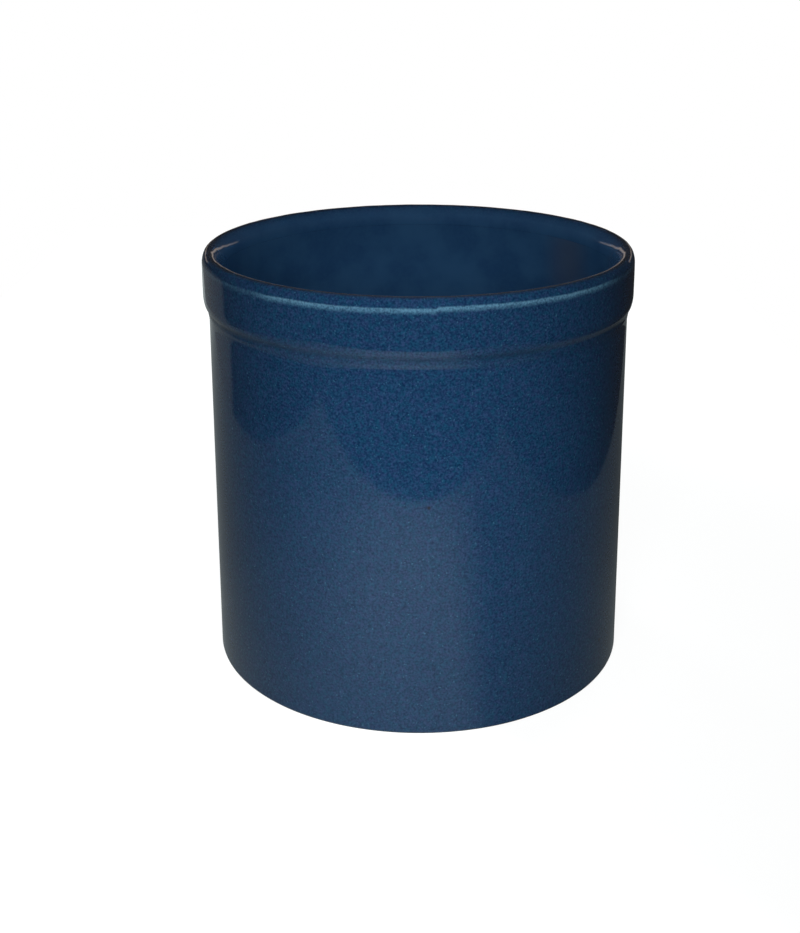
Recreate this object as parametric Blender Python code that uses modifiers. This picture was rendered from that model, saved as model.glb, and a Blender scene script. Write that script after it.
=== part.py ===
"""One-gallon stoneware crock: an open, straight-walled storage jar with a thick collar at its rim.

It is one fired clay vessel under two coats of glaze, one over the outside and the rim and one inside.
All three are turned about the same upright axis. Metres, +Z up, with the foot standing on z = 0.
"""

import math

import bpy
from mathutils import Vector

# Whole jar, measured over the glaze
HEIGHT = 0.182
WALL_RADIUS = 0.090
WALL_THICKNESS = 0.006

# Collar: a band that stands out of the wall and sweeps back into it below
COLLAR_PROUD = 0.0024
COLLAR_FACE_END = 0.0182
COLLAR_SWEEP_HEIGHT = 0.012

# Rim: a tight shoulder outside the crest and a long easy lip inside it
SHOULDER_WIDTH = 0.0028
SHOULDER_DROP = 0.005
LIP_DROP = 0.009

# Floor inside the jar
FLOOR_TOP = 0.009
FLOOR_CORNER_RADIUS = 0.012

# Foot: the glaze turns under the wall and stops, and a bare ring stands on the table
CLAY_EDGE_RADIUS = 0.0007
FOOT_EDGE_TURN = math.radians(60)
GLAZE_STOP_HEIGHT = 0.0004
FOOT_SETBACK = 0.0022
FOOT_RING_WIDTH = 0.009
FOOT_RECESS = 0.002
FOOT_RECESS_SLOPE = 0.0015

# Coats of glaze
GLAZE_THICKNESS = 0.0005
SEAT_GAP = 0.0003

# Facets
TURN_STEPS = 64
LIP_STEPS = 6
SHOULDER_STEPS = 5
SWEEP_STEPS = 5
FOOT_EDGE_STEPS = 2
FLOOR_CORNER_STEPS = 5
MERGE_DISTANCE = 0.00001
SHARP_ANGLE = math.radians(35)

inner_radius = WALL_RADIUS - WALL_THICKNESS
collar_radius = WALL_RADIUS + COLLAR_PROUD
crest_radius = collar_radius - SHOULDER_WIDTH
clay_depth = GLAZE_THICKNESS + SEAT_GAP
foot_edge_radius = clay_depth + CLAY_EDGE_RADIUS


def clear_scene():
    for obj in list(bpy.data.objects):
        bpy.data.objects.remove(obj, do_unlink=True)


def bend(centre, width, height, start, end, steps):
    """Points along part of an upright ellipse, from one angle to the other."""
    angles = [start + (end - start) * i / steps for i in range(steps + 1)]
    return [centre + Vector((width * math.cos(a), height * math.sin(a))) for a in angles]


def outside_line():
    """The glazed surface from the inner lip over the crest and down to the foot, as (radius, height)."""
    right, up, left = 0, math.pi / 2, math.pi
    lip_centre = Vector((crest_radius, HEIGHT - LIP_DROP))
    line = bend(lip_centre, crest_radius - inner_radius, LIP_DROP, left, up, LIP_STEPS)
    shoulder_centre = Vector((crest_radius, HEIGHT - SHOULDER_DROP))
    line += bend(shoulder_centre, SHOULDER_WIDTH, SHOULDER_DROP, up, right, SHOULDER_STEPS)[1:]

    # Two equal arcs, one rounding the collar's lower edge and one easing it into the wall
    sweep_radius = (COLLAR_SWEEP_HEIGHT**2 + COLLAR_PROUD**2) / (COLLAR_PROUD * 4)
    sweep_turn = 2 * math.atan2(COLLAR_PROUD, COLLAR_SWEEP_HEIGHT)
    face_end = HEIGHT - COLLAR_FACE_END
    edge_centre = Vector((collar_radius - sweep_radius, face_end))
    line += bend(edge_centre, sweep_radius, sweep_radius, right, -sweep_turn, SWEEP_STEPS)
    fillet_centre = Vector((WALL_RADIUS + sweep_radius, face_end - COLLAR_SWEEP_HEIGHT))
    line += bend(fillet_centre, sweep_radius, sweep_radius, left - sweep_turn, left, SWEEP_STEPS)[1:]

    foot_drop = foot_edge_radius * math.sin(FOOT_EDGE_TURN)
    foot_centre = Vector((WALL_RADIUS - foot_edge_radius, GLAZE_STOP_HEIGHT + foot_drop))
    line += bend(foot_centre, foot_edge_radius, foot_edge_radius, right, -FOOT_EDGE_TURN, FOOT_EDGE_STEPS)
    return line


def inside_line():
    """The liner's surface from the middle of the floor out to the corner and up to the lip."""
    down, right = -math.pi / 2, 0
    corner_centre = Vector((inner_radius - FLOOR_CORNER_RADIUS, FLOOR_TOP + FLOOR_CORNER_RADIUS))
    line = [Vector((0, FLOOR_TOP))]
    line += bend(corner_centre, FLOOR_CORNER_RADIUS, FLOOR_CORNER_RADIUS, down, right, FLOOR_CORNER_STEPS)
    line.append(Vector((inner_radius, HEIGHT - LIP_DROP - SEAT_GAP)))
    return line


def inset(line, depth):
    """The line moved into the clay, which lies to the right of its run, with mitred corners."""
    runs = [(b - a).normalized() for a, b in zip(line, line[1:])]
    moved = []
    for point, before, after in zip(line, runs[:1] + runs, runs + runs[-1:]):
        run = (before + after).normalized()
        into = Vector((run.y, -run.x))
        moved.append(point + into * depth / run.dot(after))
    return moved


def clay_line():
    """The bare vessel in one run: floor, inner wall, rim, outer wall, foot ring and recessed base."""
    line = inset(inside_line() + outside_line(), clay_depth)
    ring_outer = WALL_RADIUS - FOOT_SETBACK
    ring_inner = ring_outer - FOOT_RING_WIDTH
    line.append(Vector((ring_outer, 0)))
    line.append(Vector((ring_inner, 0)))
    line.append(Vector((ring_inner - FOOT_RECESS_SLOPE, FOOT_RECESS)))
    line.append(Vector((0, FOOT_RECESS)))
    return line


def turned(name, line, coll):
    """An object whose profile, drawn in the XZ plane, is turned once about the Z axis."""
    mesh = bpy.data.meshes.new(name)
    points = [(point.x, 0, point.y) for point in line]
    mesh.from_pydata(points, [(i, i + 1) for i in range(len(points) - 1)], [])
    obj = bpy.data.objects.new(name, mesh)
    coll.objects.link(obj)
    screw = obj.modifiers.new("Turn", "SCREW")
    screw.axis = "Z"
    screw.angle = 2 * math.pi
    screw.steps = TURN_STEPS
    screw.render_steps = TURN_STEPS
    screw.use_merge_vertices = True
    screw.merge_threshold = MERGE_DISTANCE
    screw.use_smooth_shade = True
    return obj


def thicken(obj, thickness):
    """Gives a turned surface its thickness, on the clay's side."""
    solidify = obj.modifiers.new("Coat", "SOLIDIFY")
    solidify.thickness = thickness
    solidify.offset = -1
    solidify.use_even_offset = True


def settle(obj):
    """Replaces the modifiers by the mesh that they make, shaded smooth but for its hard edges."""
    graph = bpy.context.evaluated_depsgraph_get()
    mesh = bpy.data.meshes.new_from_object(obj.evaluated_get(graph))
    obj.modifiers.clear()
    obj.data = mesh
    mesh.shade_smooth()
    mesh.set_sharp_from_angle(angle=SHARP_ANGLE)


def principled(name, colour, roughness, coat=0):
    material = bpy.data.materials.new(name)
    material.use_nodes = True
    shader = material.node_tree.nodes["Principled BSDF"]
    shader.inputs["Base Color"].default_value = (*colour, 1)
    shader.inputs["Roughness"].default_value = roughness
    shader.inputs["Metallic"].default_value = 0
    shader.inputs["Coat Weight"].default_value = coat
    return material


clear_scene()
crock = bpy.data.collections.new("crock")
bpy.context.scene.collection.children.link(crock)

body = turned("stoneware_body", clay_line(), crock)
body.data.materials.append(principled("bare_clay", (0.52, 0.41, 0.29), 0.85))

outer = turned("outer_glaze", outside_line(), crock)
thicken(outer, GLAZE_THICKNESS)
outer.data.materials.append(principled("blue_glaze", (0.012, 0.048, 0.125), 0.12, 1))

liner = turned("liner_glaze", inside_line(), crock)
thicken(liner, GLAZE_THICKNESS)
liner.data.materials.append(principled("liner_blue", (0.008, 0.028, 0.065), 0.10, 1))

bpy.context.view_layer.update()
for piece in (body, outer, liner):
    settle(piece)
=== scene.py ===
"""A one-gallon stoneware crock in deep blue glaze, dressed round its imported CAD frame.

Three pieces stand for its three nodes: the clay, the flecked coat outside and the liner inside.
Metres, +Z up, with the foot standing on z = 0 and -Y towards the viewer.
"""

import math

import bpy
from mathutils import Matrix, Vector


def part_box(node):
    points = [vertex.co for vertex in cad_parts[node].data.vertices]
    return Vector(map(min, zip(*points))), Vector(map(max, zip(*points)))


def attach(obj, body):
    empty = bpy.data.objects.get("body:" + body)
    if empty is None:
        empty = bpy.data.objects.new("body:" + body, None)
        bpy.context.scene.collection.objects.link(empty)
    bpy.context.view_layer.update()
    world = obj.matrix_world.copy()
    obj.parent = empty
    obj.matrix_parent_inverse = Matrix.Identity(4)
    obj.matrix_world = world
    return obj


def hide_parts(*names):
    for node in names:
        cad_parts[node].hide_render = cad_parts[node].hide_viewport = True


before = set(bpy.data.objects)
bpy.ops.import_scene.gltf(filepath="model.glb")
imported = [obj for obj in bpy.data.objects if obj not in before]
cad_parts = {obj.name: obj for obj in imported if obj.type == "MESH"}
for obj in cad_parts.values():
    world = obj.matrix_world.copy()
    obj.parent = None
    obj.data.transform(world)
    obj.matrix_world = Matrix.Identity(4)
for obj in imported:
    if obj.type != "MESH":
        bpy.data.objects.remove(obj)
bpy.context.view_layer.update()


# The clay vessel is one piece of buff stoneware, thrown and turned: a flat floor, a straight
# wall and a thick rim over a low foot ring. Both coats of glaze are fired onto it, and it
# stays bare only underneath, where the ring stands and the recess keeps its turning marks.
glaze_low, glaze_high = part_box("outer_glaze")
clay_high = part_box("stoneware_body")[1]
liner_low, liner_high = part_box("liner_glaze")
CREST_HEIGHT = glaze_high.z
COLLAR_RADIUS = glaze_high.x
GLAZE_STOP_HEIGHT = glaze_low.z
GLAZE_THICKNESS = 0.0005
INNER_RADIUS = liner_high.x - GLAZE_THICKNESS
FLOOR_TOP = liner_low.z + GLAZE_THICKNESS
CLAY_DEPTH = COLLAR_RADIUS - clay_high.x

WALL_RADIUS = 0.090
SHOULDER_WIDTH = 0.0028
SHOULDER_DROP = 0.005
LIP_DROP = 0.009
COLLAR_FACE_END = 0.0182
COLLAR_SWEEP_HEIGHT = 0.012
FOOT_EDGE_RADIUS = 0.0015
FOOT_EDGE_TURN = math.radians(60)
FLOOR_CORNER_RADIUS = 0.012

FOOT_SETBACK = 0.0022
FOOT_RING_WIDTH = 0.009
FOOT_RING_EDGE = 0.0006
FOOT_RECESS = 0.002
FOOT_RECESS_SLOPE = 0.0015
RING_EDGE_TURN = math.radians(15)
TURNING_MARK_PITCH = 0.0042
TURNING_MARK_DEPTH = 0.00012
TURNING_MARK_STEPS = 6
CLAY_TURN = math.radians(12)
CLAY_SPACING = 0.012

CREST_RADIUS = COLLAR_RADIUS - SHOULDER_WIDTH
LIP_END_HEIGHT = CREST_HEIGHT - LIP_DROP
COLLAR_SWEEP_END = CREST_HEIGHT - COLLAR_FACE_END - COLLAR_SWEEP_HEIGHT
FULL_TURN = 2 * math.pi
DOWN, RIGHT, UP, LEFT = -math.pi / 2, 0, math.pi / 2, math.pi


def bend(centre, width, height, start, end, turn):
    """Points along part of an upright ellipse, from one angle to the other, a small turn apart."""
    steps = math.ceil(abs(end - start) / turn)
    angles = [start + (end - start) * i / steps for i in range(steps + 1)]
    return [centre + Vector((width * math.cos(a), height * math.sin(a))) for a in angles]


def straight(line, end, spacing):
    """The line carried on to another point by even steps."""
    start = line[-1]
    steps = max(1, math.ceil((end - start).length / spacing))
    return line + [start.lerp(end, i / steps) for i in range(1, steps + 1)]


def outside_line(turn, spacing):
    """The glazed surface from the inner lip over the crest and down to the foot, as (radius, height)."""
    lip_centre = Vector((CREST_RADIUS, LIP_END_HEIGHT))
    line = bend(lip_centre, CREST_RADIUS - INNER_RADIUS, LIP_DROP, LEFT, UP, turn)
    shoulder_centre = Vector((CREST_RADIUS, CREST_HEIGHT - SHOULDER_DROP))
    line += bend(shoulder_centre, SHOULDER_WIDTH, SHOULDER_DROP, UP, RIGHT, turn)[1:]

    collar_proud = COLLAR_RADIUS - WALL_RADIUS
    sweep_radius = (COLLAR_SWEEP_HEIGHT**2 + collar_proud**2) / (collar_proud * 4)
    sweep_turn = 2 * math.atan2(collar_proud, COLLAR_SWEEP_HEIGHT)
    face_end = CREST_HEIGHT - COLLAR_FACE_END
    edge_centre = Vector((COLLAR_RADIUS - sweep_radius, face_end))
    line = straight(line, Vector((COLLAR_RADIUS, face_end)), spacing)
    line += bend(edge_centre, sweep_radius, sweep_radius, RIGHT, -sweep_turn, turn / 2)[1:]
    fillet_centre = Vector((WALL_RADIUS + sweep_radius, COLLAR_SWEEP_END))
    line += bend(fillet_centre, sweep_radius, sweep_radius, LEFT - sweep_turn, LEFT, turn / 2)[1:]

    foot_drop = FOOT_EDGE_RADIUS * math.sin(FOOT_EDGE_TURN)
    foot_centre = Vector((WALL_RADIUS - FOOT_EDGE_RADIUS, GLAZE_STOP_HEIGHT + foot_drop))
    line = straight(line, foot_centre + Vector((FOOT_EDGE_RADIUS, 0)), spacing)
    line += bend(foot_centre, FOOT_EDGE_RADIUS, FOOT_EDGE_RADIUS, RIGHT, -FOOT_EDGE_TURN, turn)[1:]
    return line


def inside_line(turn, spacing):
    """The liner's surface from the middle of the floor out to the corner and up to the lip."""
    corner_centre = Vector((INNER_RADIUS - FLOOR_CORNER_RADIUS, FLOOR_TOP + FLOOR_CORNER_RADIUS))
    corner = bend(corner_centre, FLOOR_CORNER_RADIUS, FLOOR_CORNER_RADIUS, DOWN, RIGHT, turn)
    line = straight([Vector((0, FLOOR_TOP))], corner[0], spacing) + corner[1:]
    return straight(line, Vector((INNER_RADIUS, LIP_END_HEIGHT)), spacing)


def inset(line, depth):
    """The line moved into the clay, which lies to the right of its run, with mitred corners."""
    runs = [(b - a).normalized() for a, b in zip(line, line[1:])]
    moved = []
    for point, before, after in zip(line, runs[:1] + runs, runs + runs[-1:]):
        run = (before + after).normalized()
        into = Vector((run.y, -run.x))
        moved.append(point + into * depth / run.dot(after))
    return moved


def clay_line():
    """The bare vessel in one run: floor, inner wall, rim, outer wall, foot ring and recessed base."""
    glazed = inside_line(CLAY_TURN, CLAY_SPACING) + outside_line(CLAY_TURN, CLAY_SPACING)[1:]
    line = inset(glazed, CLAY_DEPTH)
    ring_outer = WALL_RADIUS - FOOT_SETBACK
    ring_inner = ring_outer - FOOT_RING_WIDTH
    outer_edge = Vector((ring_outer - FOOT_RING_EDGE, FOOT_RING_EDGE))
    inner_edge = Vector((ring_inner + FOOT_RING_EDGE, FOOT_RING_EDGE))
    line += bend(outer_edge, FOOT_RING_EDGE, FOOT_RING_EDGE, RIGHT, DOWN, RING_EDGE_TURN)
    line += bend(inner_edge, FOOT_RING_EDGE, FOOT_RING_EDGE, DOWN, DOWN * 2, RING_EDGE_TURN)

    # Shallow rings left by the turning tool, dying out towards the middle
    recess_edge = ring_inner - FOOT_RECESS_SLOPE
    spacing = TURNING_MARK_PITCH / TURNING_MARK_STEPS
    rings = straight([Vector((recess_edge, FOOT_RECESS))], Vector((0, FOOT_RECESS)), spacing)
    for point in rings:
        share = point.x / recess_edge
        point.y += TURNING_MARK_DEPTH * share * math.sin(FULL_TURN * point.x / TURNING_MARK_PITCH)
    return line + rings


class Wire:
    """A socket in a tree of nodes. Sums on it add Math nodes, and add() puts in any other node."""

    def __init__(self, tree, socket=None):
        self.tree = tree
        self.socket = socket

    def add(self, kind, settings=None, values=None, output=0):
        """A new node's output. Its settings come first, then a value or a link for each socket."""
        node = self.tree.nodes.new(kind)
        for name, setting in (settings or {}).items():
            setattr(node, name, setting)
        for name, value in (values or {}).items():
            socket = name
            if isinstance(name, str):
                socket = next(i for i, s in enumerate(node.inputs) if s.name == name and s.enabled)
            if isinstance(value, Wire):
                self.tree.links.new(value.socket, node.inputs[socket])
            else:
                node.inputs[socket].default_value = value
        if isinstance(output, str):
            output = next(i for i, s in enumerate(node.outputs) if s.name == output and s.enabled)
        return Wire(self.tree, node.outputs[output] if node.outputs else None)

    def calc(self, operation, *others):
        return self.add("ShaderNodeMath", {"operation": operation}, dict(enumerate((self, *others))))

    def vector(self, operation, *others, output="Vector"):
        values = dict(enumerate((self, *others)))
        return self.add("ShaderNodeVectorMath", {"operation": operation}, values, output)

    def measure(self, operation, *others):
        """A sum on vectors that gives one number, such as a length or a distance."""
        return self.vector(operation, *others, output="Value")

    def axis(self, name):
        return self.add("ShaderNodeSeparateXYZ", None, {"Vector": self}, name)

    def __add__(self, other):
        return self.calc("ADD", other)

    __radd__ = __add__

    def __sub__(self, other):
        return self.calc("SUBTRACT", other)

    def __rsub__(self, other):
        return self.add("ShaderNodeMath", {"operation": "SUBTRACT"}, {0: other, 1: self})

    def __mul__(self, other):
        return self.calc("MULTIPLY", other)

    __rmul__ = __mul__

    def __truediv__(self, other):
        return self.calc("DIVIDE", other)

    def ease(self, start, end):
        """0 where the value is at start or before it, 1 at end or past it, and smooth between."""
        values = {"Value": self, "From Min": start, "From Max": end}
        return self.add("ShaderNodeMapRange", {"interpolation_type": "SMOOTHSTEP"}, values)

    def near(self, centre, reach):
        """1 where the value is at the centre, and down to 0 at that reach on both sides of it."""
        return (self - centre).calc("ABSOLUTE").ease(reach, 0)

    def mix(self, below, above):
        """A colour that goes from one to the other as this value goes from 0 to 1."""
        values = {"Factor": self, "A": below, "B": above}
        return self.add("ShaderNodeMix", {"data_type": "RGBA"}, values, "Result")

    def noise(self, width, detail=2, seed=0):
        """Noise in this place vector, whose patches are about that wide."""
        values = {"Vector": self, "W": seed, "Scale": 1 / width, "Detail": detail}
        return self.add("ShaderNodeTexNoise", {"noise_dimensions": "4D"}, values)


def turning_tree():
    """Geometry Nodes that turn a profile, drawn in the XZ plane, about Z, a little unevenly."""
    tree = bpy.data.node_groups.new("turned on the wheel", "GeometryNodeTree")
    tree.is_modifier = True
    tree.interface.new_socket("Profile", in_out="INPUT", socket_type="NodeSocketGeometry")
    tree.interface.new_socket("Steps round", in_out="INPUT", socket_type="NodeSocketInt")
    lengths = ("Waver", "Waver width", "Ripple", "Ripple width", "Rim ripple", "Rim foot", "Rim top")
    for name in (*lengths, "Merge distance", "Seed"):
        tree.interface.new_socket(name, in_out="INPUT", socket_type="NodeSocketFloat")
    tree.interface.new_socket("Finish", in_out="INPUT", socket_type="NodeSocketMaterial")
    tree.interface.new_socket("Piece", in_out="OUTPUT", socket_type="NodeSocketGeometry")

    wire = Wire(tree)
    group = tree.nodes.new("NodeGroupInput")
    given = {socket.name: Wire(tree, socket) for socket in group.outputs if socket.name}
    profile, steps = given["Profile"], given["Steps round"]
    rows = wire.add("GeometryNodeAttributeDomainSize", None, {"Geometry": profile}, "Point Count")
    sheet_values = {"Size X": 1, "Size Y": 1, "Vertices X": steps + 1, "Vertices Y": rows}
    sheet = wire.add("GeometryNodeMeshGrid", None, sheet_values, "Mesh")

    # Each column of the sheet is the profile again, turned a step further round
    index = wire.add("GeometryNodeInputIndex")
    column = (index / rows).calc("FLOOR")
    position = wire.add("GeometryNodeInputPosition")
    sample_values = {"Geometry": profile, "Value": position, "Index": index - column * rows}
    point = wire.add("GeometryNodeSampleIndex", {"data_type": "FLOAT_VECTOR"}, sample_values)
    radius = point.axis("X")
    angle = column / steps * -FULL_TURN
    across, along = radius * angle.calc("COSINE"), radius * angle.calc("SINE")
    place = wire.add("ShaderNodeCombineXYZ", None, {"X": across, "Y": along, "Z": point.axis("Z")})
    shell = wire.add("GeometryNodeSetPosition", None, {"Geometry": sheet, "Position": place})
    merge_values = {"Geometry": shell, "Distance": given["Merge distance"]}
    shell = wire.add("GeometryNodeMergeByDistance", None, merge_values)

    # Hands and glaze leave the surface a little low in places, never proud of its line
    hollows = []
    for name in ("Waver", "Ripple"):
        scaled = position.vector("DIVIDE", given[name + " width"])
        hollows.append(scaled.noise(1, detail=1, seed=given["Seed"]))
    at_rim = position.axis("Z").ease(given["Rim foot"], given["Rim top"])
    depth = hollows[0] * given["Waver"] + hollows[1] * (given["Ripple"] + given["Rim ripple"] * at_rim)
    normal = wire.add("GeometryNodeInputNormal")
    offset = wire.add("ShaderNodeVectorMath", {"operation": "SCALE"}, {0: normal, "Scale": depth * -1})
    shell = wire.add("GeometryNodeSetPosition", None, {"Geometry": shell, "Offset": offset})
    shell = wire.add("GeometryNodeSetShadeSmooth", None, {"Geometry": shell})
    shell = wire.add("GeometryNodeRealizeInstances", None, {"Geometry": shell})
    shell = wire.add("GeometryNodeSetMaterial", None, {"Geometry": shell, "Material": given["Finish"]})
    wire.add("NodeGroupOutput", None, {"Piece": shell})
    return tree


turning = turning_tree()
MERGE_DISTANCE = 0.000002
HOLLOW_SEED = 3.0
SHARP_ANGLE = math.radians(40)


def turned(name, line, material, **sizes):
    """A piece of the crock: the profile turned by the tree above into a plain mesh."""
    profile = bpy.data.meshes.new(name)
    points = [(point.x, 0, point.y) for point in line]
    profile.from_pydata(points, [(i, i + 1) for i in range(len(points) - 1)], [])
    piece = bpy.data.objects.new(name, profile)
    bpy.context.scene.collection.objects.link(piece)
    wheel = piece.modifiers.new("Wheel", "NODES")
    wheel.node_group = turning
    given = {"Merge distance": MERGE_DISTANCE, "Seed": HOLLOW_SEED, "Finish": material}
    given.update({"Rim foot": LIP_END_HEIGHT, "Rim top": CREST_HEIGHT})
    given.update({key.replace("_", " ").capitalize(): value for key, value in sizes.items()})
    for socket in turning.interface.items_tree:
        if socket.in_out == "INPUT" and socket.name in given:
            wheel[socket.identifier] = given[socket.name]
    graph = bpy.context.evaluated_depsgraph_get()
    mesh = bpy.data.meshes.new_from_object(piece.evaluated_get(graph))
    piece.modifiers.clear()
    piece.data = mesh
    mesh.set_sharp_from_angle(angle=SHARP_ANGLE)
    return piece


def finish(name, **constants):
    """A new material. Returns it with its shader and a wire on the place of each point of the piece."""
    material = bpy.data.materials.new(name)
    material.use_nodes = True
    tree = material.node_tree
    shader = tree.nodes["Principled BSDF"]
    for socket, value in constants.items():
        shader.inputs[socket.replace("_", " ")].default_value = value
    place = Wire(tree).add("ShaderNodeTexCoord", None, None, "Object")
    return material, shader, place


def feed(shader, socket, wire):
    """Links what changes over the surface to one of the shader's sockets."""
    wire.tree.links.new(wire.socket, shader.inputs[socket])


CLAY_COLOUR = (0.52, 0.41, 0.29, 1)
CLAY_PALE = (0.60, 0.50, 0.38, 1)
CLAY_SPECK = (0.16, 0.09, 0.05, 1)
CLAY_PATCH_WIDTH = 0.02
CLAY_GRAIN_WIDTH = 0.0006
CLAY_SPECK_WIDTH = 0.0011
CLAY_ROUGHNESS = 0.8
CLAY_ROUGHENING = 0.15

bare_clay, shader, place = finish("bare_clay", IOR=1.45, Metallic=0)
patches = place.noise(CLAY_PATCH_WIDTH, detail=4)
grain = place.noise(CLAY_GRAIN_WIDTH, detail=3, seed=1)
specks = place.noise(CLAY_SPECK_WIDTH, detail=1, seed=2).ease(0.69, 0.73)
body_colour = patches.ease(0.3, 0.7).mix(CLAY_COLOUR, CLAY_PALE)
body_colour = specks.mix(body_colour, CLAY_SPECK)
feed(shader, "Base Color", body_colour)
feed(shader, "Roughness", CLAY_ROUGHNESS + grain * CLAY_ROUGHENING)
bump = place.add("ShaderNodeBump", None, {"Strength": 0.5, "Distance": 0.0002, "Height": grain})
feed(shader, "Normal", bump)

clay_vessel = turned(
    "clay_vessel", clay_line(), bare_clay, steps_round=256,
    waver=0.0, waver_width=0.03, ripple=0.0, ripple_width=0.006, rim_ripple=0.0,
)
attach(clay_vessel, "root")
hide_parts("stoneware_body")


# The outside glaze is a glassy coat half a millimetre thick, deep blue with fine green and violet
# flecks. It is poured over the wall, the collar and the rim, breaks grey on the crest and pale on
# the shoulder, where a highlight is painted over the thin glaze, strongest in front. It lies duller
# in the seam under the collar, with painted shade there, and stops short of the foot.
GLAZE_DEEP = (0.0012, 0.018, 0.063, 1)
GLAZE_FLECK_GREEN = (0.0120, 0.080, 0.163, 1)
GLAZE_FLECK_VIOLET = (0.0300, 0.067, 0.172, 1)
GLAZE_GLINT = (0.040, 0.14, 0.25, 1)
GLAZE_THIN_AND_HIGHLIGHT = (0.105, 0.265, 0.400, 1)
GLAZE_SEAM_SHADE = (0.006, 0.030, 0.062, 1)
GLAZE_BREAK = (0.030, 0.030, 0.034, 1)
PIT_COLOUR = (0.008, 0.012, 0.026, 1)
GRAIN_WIDTH = 0.00085
TINT_WIDTH = 0.00136
GLINT_WIDTH = 0.0007
CLOUD_WIDTH = 0.03
CLOUD_SWING = 0.2

CREST_BREAK_START = 0.0001
CREST_BREAK_END = 0.0010
CREST_BREAK_STRENGTH = 0.6
# Where the pale shoulder line lies: thin glaze with a painted highlight, strongest in front
SHOULDER_THIN_HIGHLIGHT_START = 0.0034
SHOULDER_THIN_HIGHLIGHT_MIDDLE = 0.0042
SHOULDER_THIN_HIGHLIGHT_END = 0.0066
SHOULDER_WANDER = 0.0009
SHOULDER_WANDER_WIDTH = 0.011
HIGHLIGHT_SIDE = (0.14, -0.99, 0)
HIGHLIGHT_SIDE_START = 0.053
HIGHLIGHT_SIDE_END = 0.067
HIGHLIGHT_ELSEWHERE = 0.3
THIN_HIGHLIGHT_GRAIN = 0.8
THIN_HIGHLIGHT_CLOUD = 0.6
LINE_STEP_PLACE = 0.0067
LINE_STEP_WIDTH = 0.0010
LINE_STEP_SIZE = 0.0006
# The seam under the collar: a shallow groove, with painted shade and a duller coat in it
SEAM_DROP = 0.0245
SEAM_REACH = 0.0024
SEAM_DEPTH = 0.00025
SEAM_LEAST_SHADE_AND_DULLING = 0.05
SEAM_MOST_SHADE_AND_DULLING = 0.40
SEAM_DULLING = 0.2

# Small pits in the glaze, each by its azimuth, height and size
PITS = [(-13.7, 0.1584, 0.0007), (2.7, 0.0983, 0.0005), (59.5, 0.0184, 0.0006)]
PIT_BLEED = 2.2
PIT_CORE = 0.5

GLAZE_METALLIC = 0.22
GLINT_METALLIC = 0.3
GLAZE_ROUGHNESS = 0.55
GLINT_SMOOTHING = 0.2

LINER_DEEP = (0.0135, 0.051, 0.130, 1)
LINER_PALE = (0.0220, 0.074, 0.167, 1)
LIP_PALE = (0.036, 0.105, 0.240, 1)
LIP_PALE_STRENGTH = 0.4
LINER_CLOUD_WIDTH = 0.02
LINER_GRAIN_WIDTH = 0.0017
LINER_GRAIN = 0.4
LINER_METALLIC = 0.15


def liner_colour(place):
    """The liner's blue, cloudy and finely grained. On the inner lip the outside glaze shows it too."""
    clouds = place.noise(LINER_CLOUD_WIDTH, detail=4)
    grain = place.noise(LINER_GRAIN_WIDTH, detail=3)
    cloudy = clouds.ease(0.35, 0.65).mix(LINER_DEEP, LINER_PALE)
    return (grain.ease(0.2, 0.8) * LINER_GRAIN).mix(cloudy, LINER_PALE)


gloss = {"IOR": 1.5, "Coat_Weight": 1, "Coat_Roughness": 0.07, "Coat_IOR": 1.5, "Specular_IOR_Level": 0.1}
blue_glaze, shader, place = finish("blue_glaze", **gloss)
drop = CREST_HEIGHT - place.axis("Z")
radius = place.vector("MULTIPLY", (1, 1, 0)).measure("LENGTH")
grain = place.noise(GRAIN_WIDTH, detail=2)
glints = place.noise(GLINT_WIDTH, detail=0, seed=1).ease(0.68, 0.90)
clouds = place.noise(CLOUD_WIDTH, detail=3, seed=2)

# The pale line on the shoulder is thin glaze with a painted highlight. It wanders, steps a little
# at one place, and is strongest in front
line_step = place.axis("X").ease(LINE_STEP_PLACE, LINE_STEP_PLACE + LINE_STEP_WIDTH) - 0.5
wander = (place.noise(SHOULDER_WANDER_WIDTH, seed=4) - 0.5) * SHOULDER_WANDER + line_step * LINE_STEP_SIZE
thin_highlight = (drop + wander).ease(SHOULDER_THIN_HIGHLIGHT_START, SHOULDER_THIN_HIGHLIGHT_MIDDLE)
thin_highlight = thin_highlight * (drop + wander).ease(SHOULDER_THIN_HIGHLIGHT_END, SHOULDER_THIN_HIGHLIGHT_MIDDLE)
highlight_side = place.measure("DOT_PRODUCT", HIGHLIGHT_SIDE).ease(HIGHLIGHT_SIDE_START, HIGHLIGHT_SIDE_END)
thin_highlight = thin_highlight * (HIGHLIGHT_ELSEWHERE + highlight_side * (1 - HIGHLIGHT_ELSEWHERE))
thin_highlight = thin_highlight * (grain.ease(0.25, 0.75) * THIN_HIGHLIGHT_GRAIN + clouds * THIN_HIGHLIGHT_CLOUD)

seam = drop.near(SEAM_DROP, SEAM_REACH)
seam_shade_and_dulling = SEAM_LEAST_SHADE_AND_DULLING + clouds.ease(0.35, 0.65) * (SEAM_MOST_SHADE_AND_DULLING - SEAM_LEAST_SHADE_AND_DULLING)
crest = drop.ease(CREST_BREAK_END, CREST_BREAK_START)
inner = radius.ease(CREST_RADIUS, INNER_RADIUS)
lip = (drop.ease(LIP_DROP, 0) * LIP_PALE_STRENGTH).mix(liner_colour(place), LIP_PALE)

fleck = place.noise(TINT_WIDTH, detail=1, seed=5).ease(0.3, 0.7).mix(GLAZE_FLECK_GREEN, GLAZE_FLECK_VIOLET)
colour = (grain.ease(0.18, 0.82) + (clouds - 0.5) * CLOUD_SWING).mix(GLAZE_DEEP, fleck)
colour = glints.mix(colour, GLAZE_GLINT)
# Paler on the shoulder: thin glaze with a painted highlight over it
colour = thin_highlight.mix(colour, GLAZE_THIN_AND_HIGHLIGHT)
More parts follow.
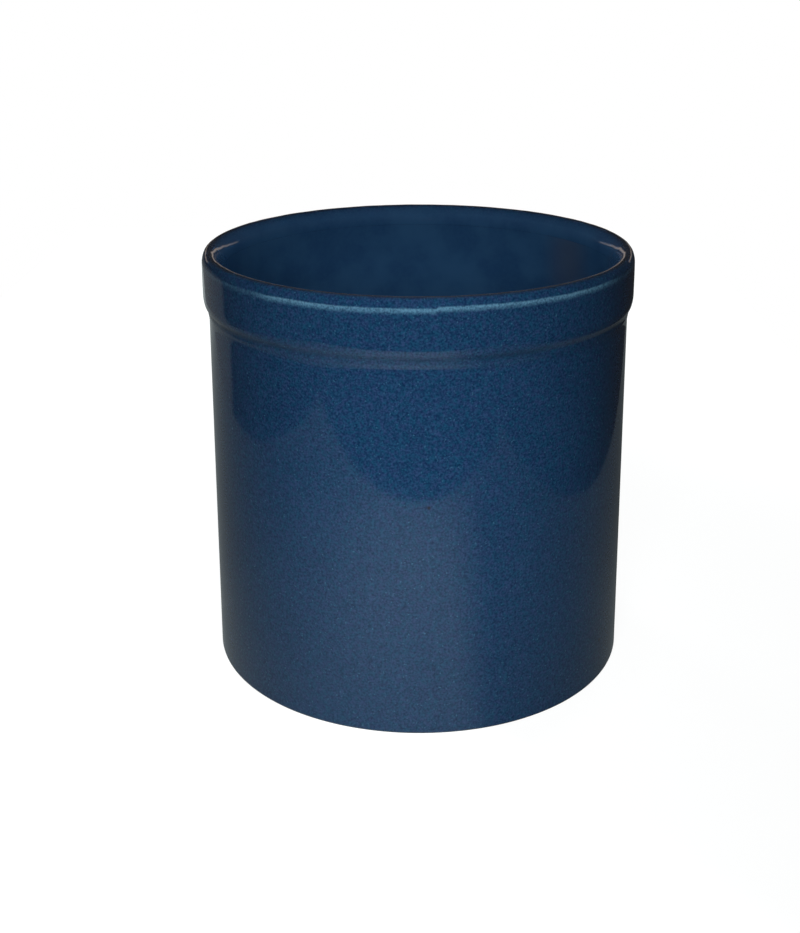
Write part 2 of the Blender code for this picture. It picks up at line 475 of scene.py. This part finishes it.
# Painted shade in the seam under the collar, patchy with the clouds
colour = (seam * seam_shade_and_dulling).mix(colour, GLAZE_SEAM_SHADE)
colour = inner.mix(colour, lip)
colour = (crest * CREST_BREAK_STRENGTH).mix(colour, GLAZE_BREAK)
for azimuth, height, size in PITS:
    a = math.radians(azimuth)
    centre = (WALL_RADIUS * math.sin(a), -WALL_RADIUS * math.cos(a), height)
    pit = place.measure("DISTANCE", centre).ease(size * PIT_BLEED, size * PIT_CORE)
    colour = pit.mix(colour, PIT_COLOUR)
feed(shader, "Base Color", colour)
metallic = (GLAZE_METALLIC + glints * GLINT_METALLIC) * (1 - inner) + LINER_METALLIC * inner
feed(shader, "Metallic", metallic)
feed(shader, "Coat Weight", 1 - seam * (SEAM_DULLING + seam_shade_and_dulling))
feed(shader, "Roughness", GLAZE_ROUGHNESS - glints * GLINT_SMOOTHING)
bump = place.add("ShaderNodeBump", None, {"Strength": 0.2, "Distance": 0.0001, "Height": grain})
feed(shader, "Normal", bump)

# The face that shows is finely divided. The face that lies on the clay needs few points
FINE_TURN, FINE_SPACING = math.radians(4), 0.0022
COARSE_TURN, COARSE_SPACING = math.radians(15), 0.05
WAVER, WAVER_WIDTH = 0.00006, 0.03
RIM_RIPPLE = 0.0002
coat_line = outside_line(FINE_TURN, FINE_SPACING)

# The glaze sinks into a shallow groove under the collar
for point in coat_line:
    share = min(1, abs(CREST_HEIGHT - point.y - SEAM_DROP) / SEAM_REACH)
    if point.x > CREST_RADIUS:
        point.x -= SEAM_DEPTH * (1 + math.cos(math.pi * share)) / 2

coat_line += reversed(inset(outside_line(COARSE_TURN, COARSE_SPACING), GLAZE_THICKNESS))
coat_line.append(coat_line[0].copy())
outside_glaze = turned(
    "outside_glaze", coat_line, blue_glaze, steps_round=512,
    waver=WAVER, waver_width=WAVER_WIDTH, ripple=0.00003, ripple_width=0.008, rim_ripple=RIM_RIPPLE,
)
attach(outside_glaze, "root")
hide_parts("outer_glaze")


# The liner glaze is a plainer blue coat of the same thickness, poured into the crock and out
# again. It covers the floor, the rounded corner and the wall up to the foot of the inner lip,
# where the outside coat meets it.
# A paler grey patch high on the inner wall, stretched upright
GREY_PATCH_CENTRE = (0.0702, 0.0460, 0.164)
GREY_PATCH_STRETCH = (1, 1, 0.5)
GREY_PATCH_RADIUS = 0.021
GREY_PATCH_COLOUR = (0.046, 0.066, 0.112, 1)
GREY_PATCH_STRENGTH = 0.7
LINER_ROUGHNESS = 0.5
LINER_ROUGHENING = 0.1

liner_blue, shader, place = finish("liner_blue", Metallic=LINER_METALLIC, **gloss)
grain = place.noise(LINER_GRAIN_WIDTH, detail=3)
# The grey patch on the inner wall, fading out from its centre
from_grey_patch = place.vector("SUBTRACT", GREY_PATCH_CENTRE).vector("MULTIPLY", GREY_PATCH_STRETCH).measure("LENGTH")
grey_patch = from_grey_patch.ease(GREY_PATCH_RADIUS, 0) * GREY_PATCH_STRENGTH
feed(shader, "Base Color", grey_patch.mix(liner_colour(place), GREY_PATCH_COLOUR))
feed(shader, "Roughness", LINER_ROUGHNESS + grain * LINER_ROUGHENING)

liner_line = inside_line(FINE_TURN, FINE_SPACING)
liner_line += reversed(inset(inside_line(COARSE_TURN, COARSE_SPACING), GLAZE_THICKNESS))
liner_glaze = turned(
    "liner_coat", liner_line, liner_blue, steps_round=384,
    waver=WAVER, waver_width=WAVER_WIDTH, ripple=0.00001, ripple_width=0.006, rim_ripple=RIM_RIPPLE,
)
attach(liner_glaze, "root")
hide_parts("liner_glaze")


# The studio: a pale table in a dark room, a soft key lamp near the camera, two weaker lamps behind
# the crock and one over it. Dim soft bands stand round it, and like the walls of the room they
# are seen only where the glaze mirrors them.
TABLE_LEFT, TABLE_RIGHT, TABLE_FRONT, TABLE_BACK = -0.37, 0.285, -0.327, 0.9
TABLE_GAP = 0.0002
TABLE_COLOUR = (0.36, 0.39, 0.39, 1)
TABLE_SHADED = (0.09, 0.10, 0.10, 1)
BLACK, WHITE = (0, 0, 0, 1), (1, 1, 1, 1)

# How bright the table is to the camera, by the crock and away from it
TABLE_SEEN_NEAR, TABLE_SEEN_FAR = 0.93, 1
SEEN_FADE_START, SEEN_FADE_END = 0.20, 0.45

# The sides of the table are shaded, by azimuth round a point a little in front of the crock's axis
SHADE_APEX_X, SHADE_APEX_Y = 0.005, -0.0465
RIGHT_SHADE_START, RIGHT_SHADE_END = math.radians(14), math.radians(40)
LEFT_SHADE_START, LEFT_SHADE_END = math.radians(-15), math.radians(-85)
LEFT_SHADE_DEPTH = 0.82

# Faint glows on the table that only mirrored rays see
MIRRORED_TINT = (0.88, 1, 1, 1)
POOL_CENTRE = (-0.03, -0.28, 0)
POOL_RADIUS = 0.36
POOL_GLOW = 0.26
WIDE_GLOW = 0.07
WIDE_GLOW_START, WIDE_GLOW_END = math.radians(150), math.radians(100)
FAR_LEFT_GLOW = 0.14
FAR_START, FAR_END = 0.35, 0.60
LEFT_START, LEFT_END = 0, -0.15
CORNER_GLOW = 0.09
CORNER_START, CORNER_END = 0.34, 0.44
FRONT_START, FRONT_END = 0, -0.15


def stage_piece(name, corners, faces, material):
    """A flat-sided piece of the studio, which is no part of the crock."""
    mesh = bpy.data.meshes.new(name)
    mesh.from_pydata(corners, [], faces)
    mesh.materials.append(material)
    piece = bpy.data.objects.new(name, mesh)
    bpy.context.scene.collection.objects.link(piece)
    return piece


def mirrored_only(piece):
    """Leaves a stage piece to the rays that the glaze mirrors."""
    piece.visible_camera = False
    piece.visible_diffuse = False
    piece.visible_transmission = False
    piece.visible_shadow = False


def seen_direct(wire):
    """1 for rays that come straight from the camera, or through glass."""
    straight = wire.add("ShaderNodeLightPath", None, None, "Is Camera Ray")
    through = wire.add("ShaderNodeLightPath", None, None, "Is Transmission Ray")
    return straight.calc("MAXIMUM", through)


# The camera sees the table as nearly white. The glaze mirrors it as it is lit, with its faint glows
table_top, shader, place = finish("table_top", Roughness=0.9, Specular_IOR_Level=0, Emission_Strength=1)
azimuth = (place.axis("X") - SHADE_APEX_X).calc("ARCTAN2", SHADE_APEX_Y - place.axis("Y"))
right_shade = azimuth.ease(RIGHT_SHADE_START, RIGHT_SHADE_END)
left_shade = azimuth.ease(LEFT_SHADE_START, LEFT_SHADE_END) * LEFT_SHADE_DEPTH
feed(shader, "Base Color", (right_shade + left_shade).mix(TABLE_COLOUR, TABLE_SHADED))

reach = place.measure("LENGTH")
pool = place.measure("DISTANCE", POOL_CENTRE).ease(POOL_RADIUS, 0) * (1 - right_shade)
wide = azimuth.ease(WIDE_GLOW_START, WIDE_GLOW_END)
far_left = place.axis("Y").ease(FAR_START, FAR_END) * place.axis("X").ease(LEFT_START, LEFT_END)
corner = reach.ease(CORNER_START, CORNER_END) * place.axis("Y").ease(FRONT_START, FRONT_END)
glow = pool * POOL_GLOW + wide * WIDE_GLOW + far_left * FAR_LEFT_GLOW + corner * CORNER_GLOW
mirrored = glow * place.add("ShaderNodeLightPath", None, None, "Is Glossy Ray")
away = reach.ease(SEEN_FADE_START, SEEN_FADE_END)
seen = seen_direct(place) * (TABLE_SEEN_NEAR + away * (TABLE_SEEN_FAR - TABLE_SEEN_NEAR))
feed(shader, "Emission Color", seen.mix(mirrored.mix(BLACK, MIRRORED_TINT), WHITE))
corners = [
    (TABLE_LEFT, TABLE_FRONT, -TABLE_GAP), (TABLE_RIGHT, TABLE_FRONT, -TABLE_GAP),
    (TABLE_RIGHT, TABLE_BACK, -TABLE_GAP), (TABLE_LEFT, TABLE_BACK, -TABLE_GAP),
]
stage_piece("table", corners, [(0, 1, 2, 3)], table_top)

AMBIENT = (0.06, 0.06, 0.06, 1)
world = bpy.data.worlds.new("studio")
bpy.context.scene.world = world
world.use_nodes = True
background = world.node_tree.nodes["Background"]
wire = Wire(world.node_tree)
mirrored = wire.add("ShaderNodeLightPath", None, None, "Is Glossy Ray")
white = seen_direct(wire).calc("MAXIMUM", mirrored)
feed(background, "Color", white.mix(AMBIENT, WHITE))


def glowing(name, **constants):
    """A material that glows by itself and takes no light."""
    return finish(name, Base_Color=BLACK, Roughness=1, Specular_IOR_Level=0, **constants)


# The photograph's glaze mirrors a dark room, so dark walls stand between it and the white backdrop
ROOM_COLOUR = (0.020, 0.018, 0.016, 1)
ROOM_HALF, ROOM_LOW, ROOM_HIGH = 2.5, -1.0, 2.5
room_wall, shader, place = glowing("room_wall", Emission_Color=ROOM_COLOUR, Emission_Strength=1)
sides = (-ROOM_HALF, ROOM_HALF)
corners = [(x, y, z) for z in (ROOM_LOW, ROOM_HIGH) for y in sides for x in sides]
faces = [(0, 1, 3, 2), (4, 6, 7, 5), (0, 4, 5, 1), (2, 3, 7, 6), (0, 2, 6, 4), (1, 5, 7, 3)]
mirrored_only(stage_piece("dark_room", corners, faces, room_wall))


MIDDLE_HEIGHT = CREST_HEIGHT / 2


def lamp(name, azimuth, elevation, distance, size, spread, level, aim):
    """A square soft lamp aimed at a height of the crock. Its level is what a white card there shows."""
    light = bpy.data.lights.new(name, "AREA")
    light.size = size
    light.spread = math.radians(spread)
    half_spread = light.spread / 2
    gathered = 1 - half_spread / math.tan(half_spread)
    light.energy = level * (math.pi * distance) ** 2 * gathered
    stand = bpy.data.objects.new(name, light)
    bpy.context.scene.collection.objects.link(stand)
    a, e = math.radians(azimuth), math.radians(elevation)
    back = Vector((math.sin(a) * math.cos(e), -math.cos(a) * math.cos(e), math.sin(e)))
    stand.location = Vector((0, 0, MIDDLE_HEIGHT)) + back * distance
    stand.rotation_euler = (stand.location - Vector((0, 0, aim))).to_track_quat("Z", "Y").to_euler()
    stand.visible_camera = False
    stand.visible_glossy = False


lamp("key", azimuth=-3, elevation=25, distance=0.55, size=0.15, spread=70, level=1.23, aim=0.0)
for name, azimuth in (("left_back", -150), ("right_back", 150)):
    lamp(name, azimuth, elevation=8, distance=0.9, size=0.3, spread=120, level=0.75, aim=MIDDLE_HEIGHT)
lamp("overhead", azimuth=0, elevation=88, distance=0.75, size=0.12, spread=18, level=0.45, aim=0.0)


BAND_STEPS = 24
BAND_SOFT_EDGE = 0.4
SKY = (0.6, 0.85, 1)
LAMPLIGHT = (1, 0.82, 0.70)
PALE_WALL = (0.95, 1, 1)
BANDS = [
    ("left_window", (-84, 10), (-12, 0), 12, SKY, 0.6),
    ("right_window", (0, 100), (-9, 2), 15, SKY, 0.4),
    ("back_window", (138, 222), (1, 8), 4, LAMPLIGHT, 0.6),
    ("back_wall", (170, 199), (-30, 2), 6, PALE_WALL, 0.22),
    ("left_wall", (193, 246), (-30, 2), 6, PALE_WALL, 0.15),
]

# Each band is a metre out and spans two azimuths, and two elevations from the height of the crest.
# Its ends fade over some degrees, and its upper and lower edges over a share of its height
for name, azimuths, elevations, soft_ends, colour, strength in BANDS:
    band, shader, place = glowing(name, Emission_Strength=strength)
    start, end = (math.radians(azimuth) for azimuth in azimuths)
    low, high = (CREST_HEIGHT + math.tan(math.radians(elevation)) for elevation in elevations)
    middle, half = (start + end) / 2, (end - start) / 2
    aside = place.measure("DOT_PRODUCT", (math.sin(middle), -math.cos(middle), 0)).calc("ARCCOSINE")
    fade = aside.ease(half, half - math.radians(soft_ends))
    edge = (high - low) * BAND_SOFT_EDGE
    fade = fade * place.axis("Z").ease(low, low + edge) * place.axis("Z").ease(high, high - edge)
    feed(shader, "Emission Color", fade.mix(BLACK, (*colour, 1)))
    corners = []
    for i in range(BAND_STEPS + 1):
        a = start + (end - start) * i / BAND_STEPS
        corners += [(math.sin(a), -math.cos(a), z) for z in (low, high)]
    faces = [(2 * i, 2 * i + 2, 2 * i + 3, 2 * i + 1) for i in range(BAND_STEPS)]
    mirrored_only(stage_piece(name, corners, faces, band))


CAMERA_PLACE = Vector((0, -0.5795, 0.3103))
CAMERA_YAW, CAMERA_PITCH, CAMERA_ROLL = math.radians(-0.77), math.radians(15.16), math.radians(-0.21)
PICTURE_HEIGHT = 933
FOCAL_PIXELS = 1379
AXIS_ROW = 308
camera = bpy.data.cameras.new("camera")
camera.lens = FOCAL_PIXELS / PICTURE_HEIGHT * camera.sensor_width
camera.shift_y = AXIS_ROW / PICTURE_HEIGHT - 0.5
viewer = bpy.data.objects.new("camera", camera)
bpy.context.scene.collection.objects.link(viewer)
turn = Matrix.Rotation(-CAMERA_YAW, 4, "Z") @ Matrix.Rotation(UP - CAMERA_PITCH, 4, "X")
viewer.matrix_world = Matrix.Translation(CAMERA_PLACE) @ turn @ Matrix.Rotation(CAMERA_ROLL, 4, "Z")
bpy.context.scene.camera = viewer
bpy.context.scene.view_settings.view_transform = "Standard"
